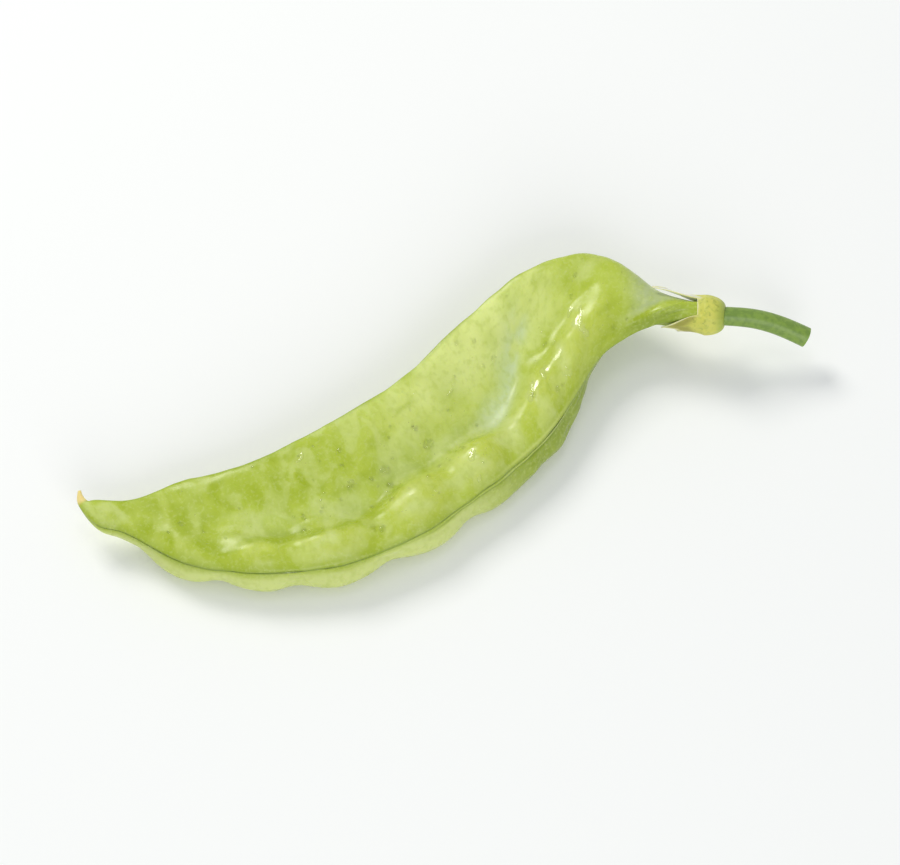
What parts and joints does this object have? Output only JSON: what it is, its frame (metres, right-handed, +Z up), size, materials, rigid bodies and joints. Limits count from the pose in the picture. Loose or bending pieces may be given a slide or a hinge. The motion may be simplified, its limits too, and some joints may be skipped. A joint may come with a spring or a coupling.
{
  "type": "snow pea pod",
  "caption": "Flat, gently curved green pea pod lying on its side, with low pea swellings along its suture, a beaked tip, a small calyx and a stub of stalk.",
  "frame": {"origin": "centre of the pod's bounding box in plan, on the surface that it lies on", "axes": "+X from the tip to the stalk, -Y the side of the suture, +Z up"},
  "size_m": [0.091, 0.0317, 0.0095],
  "materials": {
    "pod_skin": "waxy green skin, damp and softly glossy",
    "calyx_skin": "yellow-green sepals with pale papery edges",
    "stalk_skin": "smooth green stalk, paler at the cut"
  },
  "bodies": {
    "root": {"pod": "pod_skin", "calyx": "calyx_skin", "stalk": "stalk_skin"}
  },
  "joints": []
}
